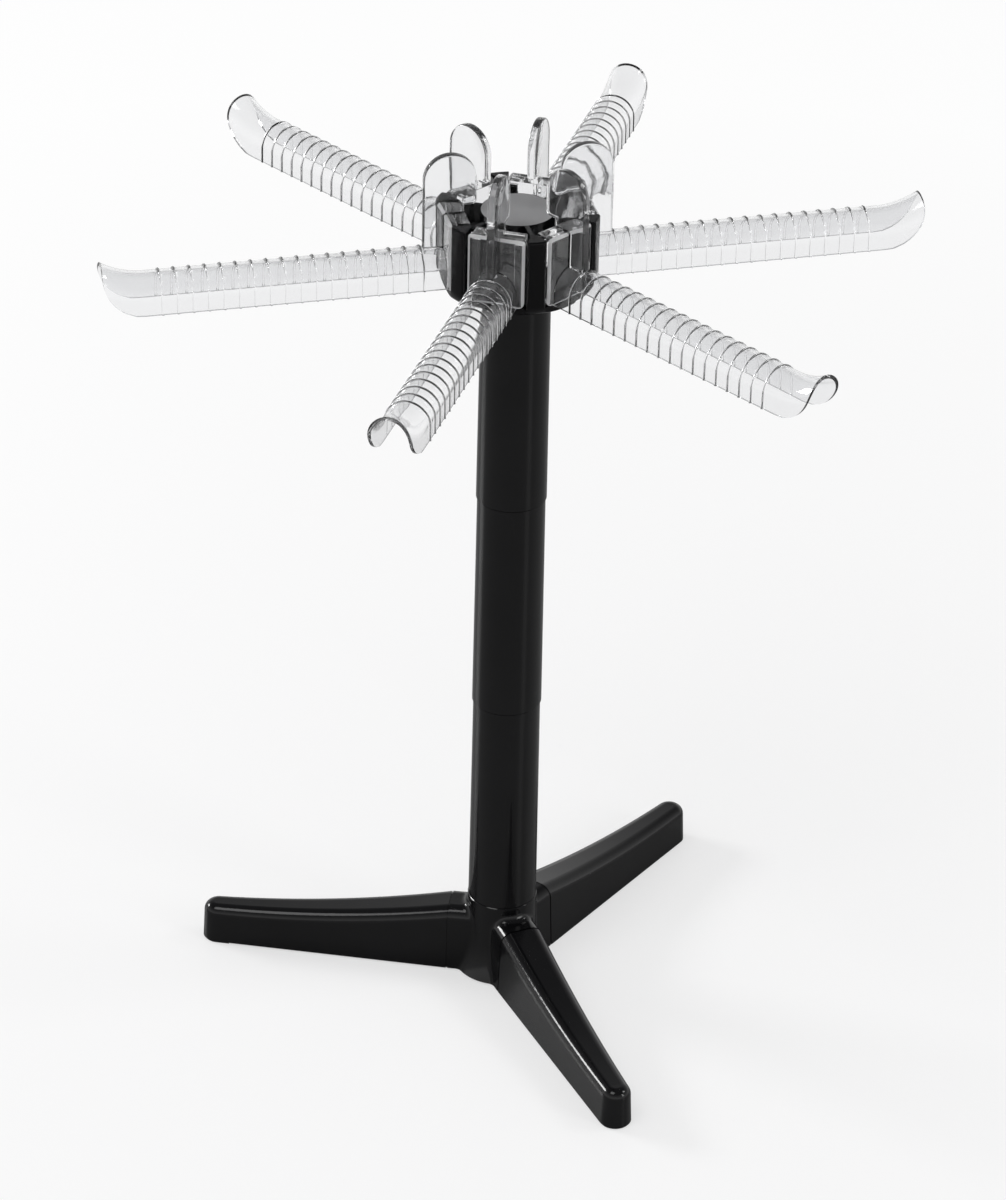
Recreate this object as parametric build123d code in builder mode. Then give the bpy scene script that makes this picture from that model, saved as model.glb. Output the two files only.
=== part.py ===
from build123d import *
from math import asin, atan2, degrees, radians, sin, tan
import os

# Table-top drying rack: three legs, a pole of three tubes and a hub that carries six clear arms.
# Millimetres. +Z is up the pole, and the origin is on the table under the pole's axis.

os.makedirs("parts", exist_ok=True)

# Numbers of like pieces and the angles at which the first of them stands
leg_count = 3
leg_turn = 180
tube_count = 3
arm_count = 6
arm_turn = 21

# Clearances
slide_gap = 0.3
turn_gap = 0.08
slot_gap = 0.2
cut_overrun = 5
weld_overlap = 1.0

# Rubber foot pads: a plate under the leg's tip with a plug inside it
pad_proud = 1.0
pad_length = 14
pad_inset = 0.8
plug_height = 4

# Legs: a trough, open below, with round shoulders and a hollow top line, down to a half-round tip
leg_reach = 159
leg_root = 27.5
leg_root_half_width = 12.9
leg_tip_half_width = 8.3
leg_root_height = 35.4
leg_tip_height = 20.8
leg_top_hollow = 3.2
leg_root_round = 6.5
leg_tip_round = 5.0
leg_least_round = 0.8
leg_draft = 2.5
leg_wall = 2.2

# Foot of the stand: a column that flares to the table, with three stubs and a tongue out of each
column_radius = 18.0
column_top = 44.5
skirt_radius = 24.0
skirt_height = 26
blend_round = 4.0
stub_inner = 8
stub_wall = 5.2
seam_width = 0.8
seam_depth = 0.7
tongue_length = 18
tongue_wall = 2.0
stub_web = 2.2

# Pole tubes and the spigots that join them
tube_length = 118.3
tube_bottom_radius = 17.7
tube_top_radius = 17.1
tube_edge = 0.35
tube_roof = 3.0
spigot_radius = 14.8
spigot_wall = 2.1
spigot_height = 15
spigot_edge = 0.8

# Hub: a floor with a bowl edge, a closed tube, thin webs and wedge posts with wings
hub_radius = 40.3
hub_height = 41
hub_floor = 5
hub_bowl_round = 8
hub_top_round = 1.0
hub_tube_radius = 18.2
hub_tube_drop = 1.5
hub_lid = 3
web_thickness = 2.2
recess_depth = 2.5
recess_inner_radius = 20
recess_rim = 10.3
post_width = 11.32
post_edge_round = 1.5
post_side_gap = 0.8
floor_rim_back = 1.6

# Arm block: a plate outside the wings, a neck between them, a head behind them and a deck on top
face_setback = 3.3
block_height = 36
plate_depth = 4
plate_edge = 1.2
plate_lower_round = 3.5
plate_upper_round = 1.6
neck_depth = 2.5
head_depth = 3.7
head_side_gap = 2.45
wing_grip = 4.0
deck_depth = 3

# Finger tab: an upright fin on the arm's centre plane with a half-round top
tab_front = 10
tab_width = 26
tab_thickness = 4
tab_height = 31.2
tab_edge_round = 0.8
tab_lift = 4.4

# Arm: an upside-down trough with narrow ribs, turned up at its end and cut back below it
arm_rise = 18.5
arm_half_width = 10.7
arm_wall = 1.7
arm_bend_start = 182
arm_reach = 203.3
arm_end_rise = 6.3
arm_end_cut_back = 16.5
arm_end_cut_sag = 6.2
rib_start = 11
rib_pitch = 7.5
rib_count = 18
rib_width = 1.2
rib_proud = 0.7
rib_edge = 0.4

# Values that follow from the sizes above
leg_bottom = pad_proud
leg_cap = leg_reach - leg_tip_half_width
hub_bottom = column_top + tube_length * tube_count
hub_top = hub_bottom + hub_height
floor_top = hub_bottom + hub_floor
block_top = floor_top + block_height
tab_top = block_top + tab_height
arm_crown = floor_top + arm_rise
arm_bottom = floor_top + slide_gap
arm_pitch = 360 / arm_count
post_half_angle = asin(post_width / 2 / hub_radius)
slot_half_width = hub_radius * sin(radians(arm_pitch / 2) - post_half_angle)
post_apex = slot_half_width / sin(radians(arm_pitch / 2))
recess_outer_radius = hub_radius - recess_rim
plate_half_width = slot_half_width - post_side_gap
head_half_width = slot_half_width - head_side_gap
neck_half_width = head_half_width - wing_grip
block_face = hub_radius - face_setback
plate_back = block_face - plate_depth
neck_back = plate_back - neck_depth
head_back = neck_back - head_depth
wing_inner = neck_back + slot_gap
wing_outer = plate_back - slot_gap
wing_top = block_top - deck_depth - slot_gap
tab_outer = block_face + tab_front
tab_inner = tab_outer - tab_width
rib_first = block_face + rib_start


# Legs
def leg_value_at(radius, root_value, tip_value):
    """A size of the leg at a distance from the pole's axis, between its root and its tip."""
    share = (radius - leg_root) / (leg_cap - leg_root)
    return root_value + (tip_value - root_value) * share


def leg_half_width_at(radius):
    """Half the width of a leg's lower edge at a distance from the pole's axis."""
    return leg_value_at(radius, leg_root_half_width, leg_tip_half_width)


def leg_height_at(radius):
    """The height of a leg's hollow top line at a distance from the pole's axis."""
    share = leg_value_at(radius, 0, 1)
    dip = 4 * leg_top_hollow * share * (1 - share)
    return leg_value_at(radius, leg_root_height, leg_tip_height) - dip


def leg_section(radius, inset, whole=True):
    """A leg's section across its length, made smaller by an inset and run on below its foot."""
    top = leg_bottom + leg_height_at(radius) - inset
    bottom = leg_bottom - cut_overrun
    lean = tan(radians(leg_draft))
    foot_half = leg_half_width_at(radius) - inset
    low_half = foot_half + (leg_bottom - bottom) * lean
    high_half = foot_half - (top - leg_bottom) * lean
    shoulder_round = leg_value_at(radius, leg_root_round, leg_tip_round) - inset
    with BuildSketch(Plane.YZ.offset(radius)) as section:
        with BuildLine():
            Polyline(
                (-low_half, bottom),
                (low_half, bottom),
                (high_half, top),
                (-high_half, top),
                close=True,
            )
        make_face()
        shoulders = section.vertices().sort_by(Axis.Y)[-2:]
        fillet(shoulders, max(shoulder_round, leg_least_round))
        if not whole:
            with Locations((0, bottom)):
                Rectangle(
                    low_half,
                    top - bottom,
                    align=(Align.MIN, Align.MIN),
                    mode=Mode.SUBTRACT,
                )
    return section.sketch


def leg_form(start, end, inset):
    """The leg's form along +X from a start to an end, made smaller by an inset."""
    middle = (start + end) / 2
    sections = [leg_section(radius, inset).face() for radius in (start, middle, end)]
    return loft(sections, mode=Mode.PRIVATE)


def tip_form(inset):
    """The leg's half-round tip, made smaller by an inset."""
    half = leg_section(leg_cap, inset, whole=False)
    tip_axis = Axis((leg_cap, 0, 0), (0, 0, 1))
    return revolve(half, axis=tip_axis, revolution_arc=180, mode=Mode.PRIVATE)


with BuildPart() as leg:
    add(leg_form(leg_root, leg_cap, 0))
    add(tip_form(0))
    add(leg_form(leg_root - cut_overrun, leg_cap, leg_wall), mode=Mode.SUBTRACT)
    add(tip_form(leg_wall), mode=Mode.SUBTRACT)
    split(bisect_by=Plane.XY.offset(leg_bottom))

# Foot pads
pad_start = leg_reach - pad_inset - pad_length
plug_inset = leg_wall + slide_gap


def tip_plan(height, inset):
    """The plan of a foot pad, made smaller than the leg's foot by an inset."""
    start_half = leg_half_width_at(pad_start) - inset
    cap_half = leg_tip_half_width - inset
    with BuildSketch(Plane.XY.offset(height)) as plan:
        with BuildLine():
            Polyline(
                (leg_cap, cap_half),
                (pad_start, start_half),
                (pad_start, -start_half),
                (leg_cap, -cap_half),
            )
            RadiusArc((leg_cap, -cap_half), (leg_cap, cap_half), -cap_half)
        make_face()
    return plan.sketch


with BuildPart() as foot_pad:
    extrude(tip_plan(0, pad_inset), amount=pad_proud)
    extrude(tip_plan(pad_proud, plug_inset), amount=plug_height, taper=leg_draft)

for index in range(leg_count):
    angle = leg_turn + 360 / leg_count * index
    turned_leg = leg.part.rotate(Axis.Z, angle)
    turned_leg.label = f"leg_{index + 1}"
    export_step(turned_leg, f"parts/leg_{index + 1}.step")
    turned_pad = foot_pad.part.rotate(Axis.Z, angle)
    turned_pad.label = f"foot_pad_{index + 1}"
    export_step(turned_pad, f"parts/foot_pad_{index + 1}.step")


# Foot of the stand
def spigot_outline(top, radius):
    """Points up the outside of a tube's end, round its spigot and in to the axis."""
    spigot_top = top + spigot_height
    spigot_bore_radius = spigot_radius - spigot_wall
    return [
        (radius, top - tube_edge),
        (radius - tube_edge, top),
        (spigot_radius, top),
        (spigot_radius, spigot_top - spigot_edge),
        (spigot_radius - spigot_edge, spigot_top),
        (spigot_bore_radius, spigot_top),
        (spigot_bore_radius, top),
        (0, top),
    ]


skirt_top = leg_bottom + skirt_height
socket_radius = spigot_radius + slide_gap

tongue_inset = leg_wall + slide_gap
hollow_inset = tongue_inset + tongue_wall
tongue_end = leg_root + tongue_length
tongue_start = leg_root - cut_overrun

with BuildPart() as stub:
    stub_shoulder = leg_section(leg_root - seam_width, 0)
    extrude(stub_shoulder, amount=stub_inner + seam_width - leg_root)
    extrude(leg_section(leg_root, seam_depth), amount=-seam_width)
    add(leg_form(tongue_start, tongue_end, tongue_inset))
    split(bisect_by=Plane.XY.offset(leg_bottom))

with BuildPart() as stub_hollow:
    extrude(leg_section(leg_root, stub_wall), amount=-leg_root)
    add(leg_form(tongue_start, tongue_end, hollow_inset))
    with BuildSketch(Plane.XY.offset(leg_bottom - cut_overrun)):
        Rectangle(tongue_end * 2, stub_web)
    extrude(amount=column_top, mode=Mode.SUBTRACT)

with BuildPart() as base_hub:
    with BuildSketch(Plane.XZ):
        with BuildLine():
            TangentArc((column_radius, skirt_top), (skirt_radius, leg_bottom), tangent=(0, -1))
            Polyline((skirt_radius, leg_bottom), (0, leg_bottom), (0, column_top))
            Polyline((column_radius, skirt_top), *spigot_outline(column_top, column_radius))
        make_face()
    revolve(axis=Axis.Z)
    leg_turns = [Rotation(0, 0, leg_turn + 360 / leg_count * index) for index in range(leg_count)]
    add([turn * stub.part for turn in leg_turns])
    fillet(base_hub.edges(Select.NEW), blend_round)
    for turn in leg_turns:
        add(turn * stub_hollow.part, mode=Mode.SUBTRACT)
    with BuildSketch(Plane.XY.offset(leg_bottom)):
        Circle(socket_radius)
    extrude(amount=column_top - tube_roof - leg_bottom, mode=Mode.SUBTRACT)

base_hub.part.label = "base_hub"
export_step(base_hub.part, "parts/base_hub.step")

# Pole tubes
for index, name in enumerate(["pole_lower", "pole_middle", "pole_upper"]):
    tube_bottom = column_top + tube_length * index
    tube_top = tube_bottom + tube_length
    with BuildPart() as tube:
        with BuildSketch(Plane.XZ):
            with BuildLine():
                Polyline(
                    (0, tube_top - tube_roof),
                    (socket_radius, tube_top - tube_roof),
                    (socket_radius, tube_bottom),
                    (tube_bottom_radius - tube_edge, tube_bottom),
                    (tube_bottom_radius, tube_bottom + tube_edge),
                    *spigot_outline(tube_top, tube_top_radius),
                    close=True,
                )
            make_face()
        revolve(axis=Axis.Z)
    tube.part.label = name
    export_step(tube.part, f"parts/{name}.step")

# Hub
hub_tube_top = hub_top - hub_tube_drop
pivot_radius = spigot_radius + turn_gap
wing_end = slot_half_width + weld_overlap
wing_start = neck_half_width + slot_gap
wing_length = wing_end - wing_start
wing_thickness = wing_outer - wing_inner
web_start = hub_tube_radius - weld_overlap
web_length = post_apex + weld_overlap * 2 - web_start
floor_rim = block_face - floor_rim_back

with BuildPart() as arm_hub:
    # floor, cut back under the arms' plates
    with BuildSketch(Plane.XY.offset(hub_bottom)):
        Circle(hub_radius)
        with PolarLocations(floor_rim + hub_radius / 2, arm_count, arm_turn):
            Rectangle(hub_radius, slot_half_width * 2, mode=Mode.SUBTRACT)
    extrude(amount=hub_floor)
    # wedge posts between the slots
    with BuildSketch(Plane.XY.offset(hub_bottom)) as post_plan:
        with BuildLine():
            Polyline(
                (post_apex, 0),
                (post_apex * 2, post_apex * tan(radians(arm_pitch / 2))),
                (post_apex * 2, -post_apex * tan(radians(arm_pitch / 2))),
                close=True,
            )
        make_face()
        Circle(hub_radius, mode=Mode.INTERSECT)
        fillet(post_plan.vertices().sort_by(Axis.X)[-2:], post_edge_round)
    post = extrude(amount=hub_height, mode=Mode.PRIVATE)
    for index in range(arm_count):
        add(Rotation(0, 0, arm_turn + arm_pitch * (index + 1 / 2)) * post)
    # wings that the arms' heads slide down behind
    with BuildSketch(Plane.XY.offset(hub_bottom)):
        with PolarLocations(0, arm_count, arm_turn):
            with Locations(
                ((wing_inner + wing_outer) / 2, (wing_start + wing_end) / 2),
                ((wing_inner + wing_outer) / 2, -(wing_start + wing_end) / 2),
            ):
                Rectangle(wing_thickness, wing_length)
    extrude(amount=wing_top - hub_bottom)
    # closed tube on the pole's spigot, and the webs from it to the posts
    with BuildSketch(Plane.XY.offset(hub_bottom)):
        Circle(hub_tube_radius)
        with PolarLocations(web_start + web_length / 2, arm_count, arm_turn + arm_pitch / 2):
            Rectangle(web_length, web_thickness)
    extrude(amount=hub_tube_top - hub_bottom)
    # bowl edge below and a small round above
    with BuildSketch(Plane.XZ):
        with BuildLine():
            bowl = RadiusArc(
                (hub_radius - hub_bowl_round, hub_bottom),
                (hub_radius, hub_bottom + hub_bowl_round),
                -hub_bowl_round,
            )
            side = Line(bowl @ 1, (hub_radius, hub_top - hub_top_round))
            shoulder = RadiusArc(side @ 1, (hub_radius - hub_top_round, hub_top), -hub_top_round)
            Polyline(shoulder @ 1, (0, hub_top), (0, hub_bottom), bowl @ 0)
        make_face()
    revolve(axis=Axis.Z, mode=Mode.INTERSECT)
    # socket for the spigot, and a shallow ring underneath
    with BuildSketch(Plane.XY.offset(hub_bottom)):
        Circle(pivot_radius)
    extrude(amount=hub_tube_top - hub_lid - hub_bottom, mode=Mode.SUBTRACT)
    with BuildSketch(Plane.XY.offset(hub_bottom)):
        Circle(recess_outer_radius)
        Circle(recess_inner_radius, mode=Mode.SUBTRACT)
    extrude(amount=recess_depth, mode=Mode.SUBTRACT)

arm_hub.part.label = "arm_hub"
export_step(arm_hub.part, "parts/arm_hub.step")


# Arms
def trough_section(inset, x):
    """The trough's outline across the arm, made smaller by an inset and closed below."""
    half = arm_half_width - inset
    with BuildSketch(Plane.YZ.offset(x)) as section:
        with BuildLine():
            Polyline(
                (half, arm_crown - arm_half_width),
                (half, arm_bottom),
                (-half, arm_bottom),
                (-half, arm_crown - arm_half_width),
            )
            RadiusArc(
                (-half, arm_crown - arm_half_width),
                (half, arm_crown - arm_half_width),
                half,
            )
        make_face()
    return section.sketch


bend_length = arm_reach - arm_bend_start
bend_radius = (bend_length**2 + arm_end_rise**2) / (2 * arm_end_rise)
bend_angle = degrees(2 * atan2(arm_end_rise, bend_length))
bend_axis = Axis((arm_bend_start, 0, arm_crown + bend_radius), (0, -1, 0))

with BuildPart() as rib:
    extrude(trough_section(-rib_proud, rib_first - rib_width / 2), amount=rib_width)
    side_edges = rib.edges().filter_by(Plane.YZ) - rib.edges().group_by(Axis.Z)[0]
    chamfer(side_edges, rib_edge)

tab_half_width = tab_width / 2
tab_waist = tab_top - tab_half_width
tab_low = arm_crown - arm_wall / 2
tab_back_low = block_top - deck_depth / 2
tab_ledge = block_top + tab_lift
tab_root = head_back + slot_gap

with BuildPart() as tab:
    with BuildSketch(Plane.XZ):
        with BuildLine():
            Polyline(
                (tab_outer, tab_waist),
                (tab_outer, tab_low),
                (plate_back, tab_low),
                (plate_back, tab_back_low),
                (tab_root, tab_back_low),
                (tab_root, tab_ledge),
                (tab_inner, tab_ledge),
                (tab_inner, tab_waist),
            )
            RadiusArc((tab_inner, tab_waist), (tab_outer, tab_waist), tab_half_width)
        make_face()
    extrude(amount=tab_thickness / 2, both=True)
    fillet(tab.faces().filter_by(Plane.XZ).edges(), tab_edge_round)

with BuildPart() as plate:
    with BuildSketch(Plane.YZ.offset(plate_back)) as plate_face:
        with Locations((0, floor_top + block_height / 2)):
            Rectangle(plate_half_width * 2, block_height)
        fillet(plate_face.vertices().group_by(Axis.Y)[0], plate_lower_round)
        fillet(plate_face.vertices().group_by(Axis.Y)[-1], plate_upper_round)
    extrude(amount=plate_depth)
    chamfer(plate.faces().sort_by(Axis.X)[-1].edges(), plate_edge)

with BuildPart() as arm:
    add(plate.part)
    # head, neck and deck
    with BuildSketch(Plane.XY.offset(floor_top)):
        with Locations(((head_back + neck_back) / 2, 0)):
            Rectangle(head_depth, head_half_width * 2)
        with Locations(((neck_back + plate_back) / 2, 0)):
            Rectangle(neck_depth, neck_half_width * 2)
    extrude(amount=block_height)
    with BuildSketch(Plane.XY.offset(block_top)):
        with Locations(((neck_back + plate_back) / 2, 0)):
            Rectangle(neck_depth, head_half_width * 2)
    extrude(amount=-deck_depth)
    add(tab.part)
    # trough with its ribs, hollow from below
    extrude(trough_section(0, plate_back), amount=arm_bend_start - plate_back)
    revolve(trough_section(0, arm_bend_start), axis=bend_axis, revolution_arc=bend_angle)
    with Locations(*[(rib_pitch * index, 0) for index in range(rib_count)]):
        add(rib.part)
    extrude(
        trough_section(arm_wall, block_face),
        amount=arm_bend_start - block_face,
        mode=Mode.SUBTRACT,
    )
    revolve(
        trough_section(arm_wall, arm_bend_start),
        axis=bend_axis,
        revolution_arc=bend_angle,
        mode=Mode.SUBTRACT,
    )
    # end cut back below the lip
    with BuildSketch(Plane.XZ):
        with BuildLine():
            Polyline(
                (arm_reach - arm_end_cut_back, arm_bottom),
                (arm_reach - arm_end_cut_back, arm_bottom - cut_overrun),
                (arm_reach + arm_rise, arm_bottom - cut_overrun),
                (arm_reach + arm_rise, arm_crown + arm_end_rise),
                (arm_reach, arm_crown + arm_end_rise),
            )
            SagittaArc(
                (arm_reach, arm_crown + arm_end_rise),
                (arm_reach - arm_end_cut_back, arm_bottom),
                arm_end_cut_sag,
            )
        make_face()
    extrude(amount=arm_half_width * 2, both=True, mode=Mode.SUBTRACT)

for index in range(arm_count):
    turned_arm = arm.part.rotate(Axis.Z, arm_turn + arm_pitch * index)
    turned_arm.label = f"arm_{index + 1}"
    export_step(turned_arm, f"parts/arm_{index + 1}.step")
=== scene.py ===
import math
from types import SimpleNamespace

import bmesh
import bpy
import mathutils
import numpy as np
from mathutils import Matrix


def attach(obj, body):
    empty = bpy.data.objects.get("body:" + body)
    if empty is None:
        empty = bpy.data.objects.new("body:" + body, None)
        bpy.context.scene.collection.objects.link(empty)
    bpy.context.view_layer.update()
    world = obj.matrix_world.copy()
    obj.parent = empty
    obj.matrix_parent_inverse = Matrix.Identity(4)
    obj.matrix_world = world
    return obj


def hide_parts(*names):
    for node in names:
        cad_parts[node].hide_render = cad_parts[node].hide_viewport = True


bl_info = {
    "name": "Drying rack",
    "version": (1, 0, 0),
    "blender": (4, 5, 0),
    "location": "3D View > Sidebar > Drying rack",
    "description": "Dresses the drying rack's frame with clear arms, black plastic and a pale stage",
    "category": "Object",
}

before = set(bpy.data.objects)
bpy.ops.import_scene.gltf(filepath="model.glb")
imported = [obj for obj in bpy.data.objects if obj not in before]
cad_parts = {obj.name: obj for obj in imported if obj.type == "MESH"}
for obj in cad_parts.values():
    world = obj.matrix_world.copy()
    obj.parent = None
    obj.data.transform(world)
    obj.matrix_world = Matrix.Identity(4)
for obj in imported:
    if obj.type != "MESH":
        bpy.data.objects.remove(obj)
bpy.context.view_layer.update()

ARM_COUNT = 6
ARM_PITCH = 2 * math.pi / ARM_COUNT
STAND_NODES = ("base_hub", "leg_1", "leg_2", "leg_3", "pole_lower", "pole_middle", "pole_upper")
PAD_NODES = ("foot_pad_1", "foot_pad_2", "foot_pad_3")
HUB_NODE = "arm_hub"


# Settings


class RackArmSettings(bpy.types.PropertyGroup):
    """Sizes of the clear arms, in metres, as they stand in the frame."""

    turn: bpy.props.FloatProperty(
        name="Turn",
        description="Angle of the first arm from the X axis",
        default=math.radians(21.0),
        subtype="ANGLE",
    )
    crown: bpy.props.FloatProperty(
        name="Crown height",
        description="Height of the trough's top above the table",
        default=0.4229,
        unit="LENGTH",
        precision=5,
    )
    half_width: bpy.props.FloatProperty(
        name="Half width",
        description="Half of the trough's width",
        default=0.0107,
        unit="LENGTH",
        precision=5,
    )
    depth: bpy.props.FloatProperty(
        name="Depth",
        description="Height of the trough from its lower edge to its top",
        default=0.0182,
        unit="LENGTH",
        precision=5,
    )
    wall: bpy.props.FloatProperty(
        name="Wall",
        description="Thickness of the trough",
        default=0.0017,
        unit="LENGTH",
        precision=5,
    )
    bend_start: bpy.props.FloatProperty(
        name="Bend start",
        description="Distance from the pole at which the end turns up",
        default=0.182,
        unit="LENGTH",
        precision=5,
    )
    reach: bpy.props.FloatProperty(
        name="Reach",
        description="Distance of the arm's end from the pole's axis",
        default=0.2033,
        unit="LENGTH",
        precision=5,
    )
    end_rise: bpy.props.FloatProperty(
        name="End rise",
        description="Height that the end gains",
        default=0.0063,
        unit="LENGTH",
        precision=5,
    )
    cut_back: bpy.props.FloatProperty(
        name="Cut back",
        description="How far the end is cut back at its lower edge",
        default=0.0165,
        unit="LENGTH",
        precision=5,
    )
    cut_sag: bpy.props.FloatProperty(
        name="Cut sag",
        description="How far the round cut stands out from its chord",
        default=0.0062,
        unit="LENGTH",
        precision=5,
    )
    rib_first: bpy.props.FloatProperty(
        name="First rib",
        description="Distance of the first rib's middle from the pole's axis",
        default=0.048,
        unit="LENGTH",
        precision=5,
    )
    rib_pitch: bpy.props.FloatProperty(
        name="Rib pitch",
        description="Distance between ribs",
        default=0.0075,
        unit="LENGTH",
        precision=5,
    )
    rib_width: bpy.props.FloatProperty(
        name="Rib width",
        description="Width of a rib",
        default=0.0013,
        unit="LENGTH",
        precision=5,
    )
    rib_proud: bpy.props.FloatProperty(
        name="Rib height",
        description="Height of a rib",
        default=0.0007,
        unit="LENGTH",
        precision=5,
    )
    block_face: bpy.props.FloatProperty(
        name="Block face",
        description="Distance of the plate's outer face from the pole's axis",
        default=0.037,
        unit="LENGTH",
        precision=5,
    )
    block_bottom: bpy.props.FloatProperty(
        name="Block bottom",
        description="Height of the block's lower edge",
        default=0.4044,
        unit="LENGTH",
        precision=5,
    )
    block_top: bpy.props.FloatProperty(
        name="Block top",
        description="Height of the block's top",
        default=0.4404,
        unit="LENGTH",
        precision=5,
    )
    plate_depth: bpy.props.FloatProperty(
        name="Plate depth",
        description="Thickness of the plate",
        default=0.004,
        unit="LENGTH",
        precision=5,
    )
    plate_half_width: bpy.props.FloatProperty(
        name="Plate half width",
        description="Half of the plate's width",
        default=0.01425,
        unit="LENGTH",
        precision=5,
    )
    plate_edge: bpy.props.FloatProperty(
        name="Plate bevel",
        description="Depth of the flat bevel round the plate's front",
        default=0.0012,
        unit="LENGTH",
        precision=5,
    )
    plate_low_round: bpy.props.FloatProperty(
        name="Lower corners",
        description="Radius of the plate's lower corners",
        default=0.0035,
        unit="LENGTH",
        precision=5,
    )
    plate_high_round: bpy.props.FloatProperty(
        name="Upper corners",
        description="Radius of the plate's upper corners",
        default=0.0016,
        unit="LENGTH",
        precision=5,
    )
    neck_depth: bpy.props.FloatProperty(
        name="Neck depth",
        description="Depth of the neck behind the plate",
        default=0.0025,
        unit="LENGTH",
        precision=5,
    )
    neck_half_width: bpy.props.FloatProperty(
        name="Neck half width",
        description="Half of the neck's width",
        default=0.0086,
        unit="LENGTH",
        precision=5,
    )
    head_depth: bpy.props.FloatProperty(
        name="Head depth",
        description="Depth of the head behind the neck",
        default=0.0037,
        unit="LENGTH",
        precision=5,
    )
    head_half_width: bpy.props.FloatProperty(
        name="Head half width",
        description="Half of the head's width",
        default=0.0126,
        unit="LENGTH",
        precision=5,
    )
    deck_depth: bpy.props.FloatProperty(
        name="Deck depth",
        description="Thickness of the block's top",
        default=0.003,
        unit="LENGTH",
        precision=5,
    )
    tab_inner: bpy.props.FloatProperty(
        name="Tab inner",
        description="Distance of the tab's inner edge from the pole's axis",
        default=0.021,
        unit="LENGTH",
        precision=5,
    )
    tab_outer: bpy.props.FloatProperty(
        name="Tab outer",
        description="Distance of the tab's outer edge from the pole's axis",
        default=0.047,
        unit="LENGTH",
        precision=5,
    )
    tab_thickness: bpy.props.FloatProperty(
        name="Tab thickness",
        description="Thickness of the finger tab",
        default=0.004,
        unit="LENGTH",
        precision=5,
    )
    tab_top: bpy.props.FloatProperty(
        name="Tab top",
        description="Height of the tab's top",
        default=0.4716,
        unit="LENGTH",
        precision=5,
    )
    tab_ledge: bpy.props.FloatProperty(
        name="Tab ledge",
        description="Height of the tab's inner lower edge",
        default=0.4448,
        unit="LENGTH",
        precision=5,
    )
    tab_corner: bpy.props.FloatProperty(
        name="Tab corner",
        description="Radius of the tab's inner lower corner",
        default=0.002,
        unit="LENGTH",
        precision=5,
    )
    part_line: bpy.props.FloatProperty(
        name="Part line",
        description="Step between the block's own surfaces",
        default=0.0001,
        unit="LENGTH",
        precision=5,
    )
    tab_ease: bpy.props.FloatProperty(
        name="Tab edge",
        description="Rounding of the tab's edges",
        default=0.0008,
        unit="LENGTH",
        precision=5,
    )
    small_ease: bpy.props.FloatProperty(
        name="Small edge",
        description="Rounding of the block's hidden edges",
        default=0.0003,
        unit="LENGTH",
        precision=5,
    )
    rib_count: bpy.props.IntProperty(
        name="Ribs",
        description="Number of ribs on an arm",
        default=18,
    )
    haze_start: bpy.props.FloatProperty(
        name="Haze start",
        description="Distance from the pole's axis up to which the plastic is most hazy",
        default=0.038,
        unit="LENGTH",
        precision=5,
    )
    haze_end: bpy.props.FloatProperty(
        name="Haze end",
        description="Distance from the pole's axis beyond which the plastic is least hazy",
        default=0.06,
        unit="LENGTH",
        precision=5,
    )
    haze_block: bpy.props.FloatProperty(
        name="Haze of the block",
        description="Share of scattered light in the block and its tab",
        default=0.018,
    )
    haze_trough: bpy.props.FloatProperty(
        name="Haze of the trough",
        description="Share of scattered light in the trough",
        default=0.01,
    )
    # painted glint: white scattering frost on the bevel round the plate's front stands in for its glints
    bevel_glint_frost: bpy.props.FloatProperty(
        name="Frost",
        description="Share of scattered light on the bevel round the front of the plate",
        default=0.75,
    )
    plastic_tint: bpy.props.FloatVectorProperty(
        name="Plastic tint",
        description="Colour of the clear plastic",
        default=(0.925, 0.928, 0.935),
        subtype="COLOR",
        min=0.0,
        max=1.0,
    )


class RackStandSettings(bpy.types.PropertyGroup):
    """Colours of the stand, the hub and the foot pads."""

    plastic_colour: bpy.props.FloatVectorProperty(
        name="Plastic colour",
        description="Colour of the black moulded plastic",
        default=(0.003, 0.003, 0.0034),
        subtype="COLOR",
        min=0.0,
        max=1.0,
    )
    rubber_colour: bpy.props.FloatVectorProperty(
        name="Rubber colour",
        description="Colour of the foot pads",
        default=(0.02, 0.02, 0.02),
        subtype="COLOR",
        min=0.0,
        max=1.0,
    )
    # painted sheen: the cap's lighter grey stands in for the tube's top face reflecting the light behind
    cap_sheen_colour: bpy.props.FloatVectorProperty(
        name="Cap colour",
        description="Colour of the satin face on top of the hub's tube",
        default=(0.24, 0.24, 0.245),
        subtype="COLOR",
        min=0.0,
        max=1.0,
    )
    cap_radius: bpy.props.FloatProperty(
        name="Cap radius",
        description="Radius of the satin face on top of the hub's tube",
        default=0.0179,
        unit="LENGTH",
        precision=5,
    )
    cap_height: bpy.props.FloatProperty(
        name="Cap height",
        description="Height above which the hub's tube has its satin face",
        default=0.4387,
        unit="LENGTH",
        precision=5,
    )


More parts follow.
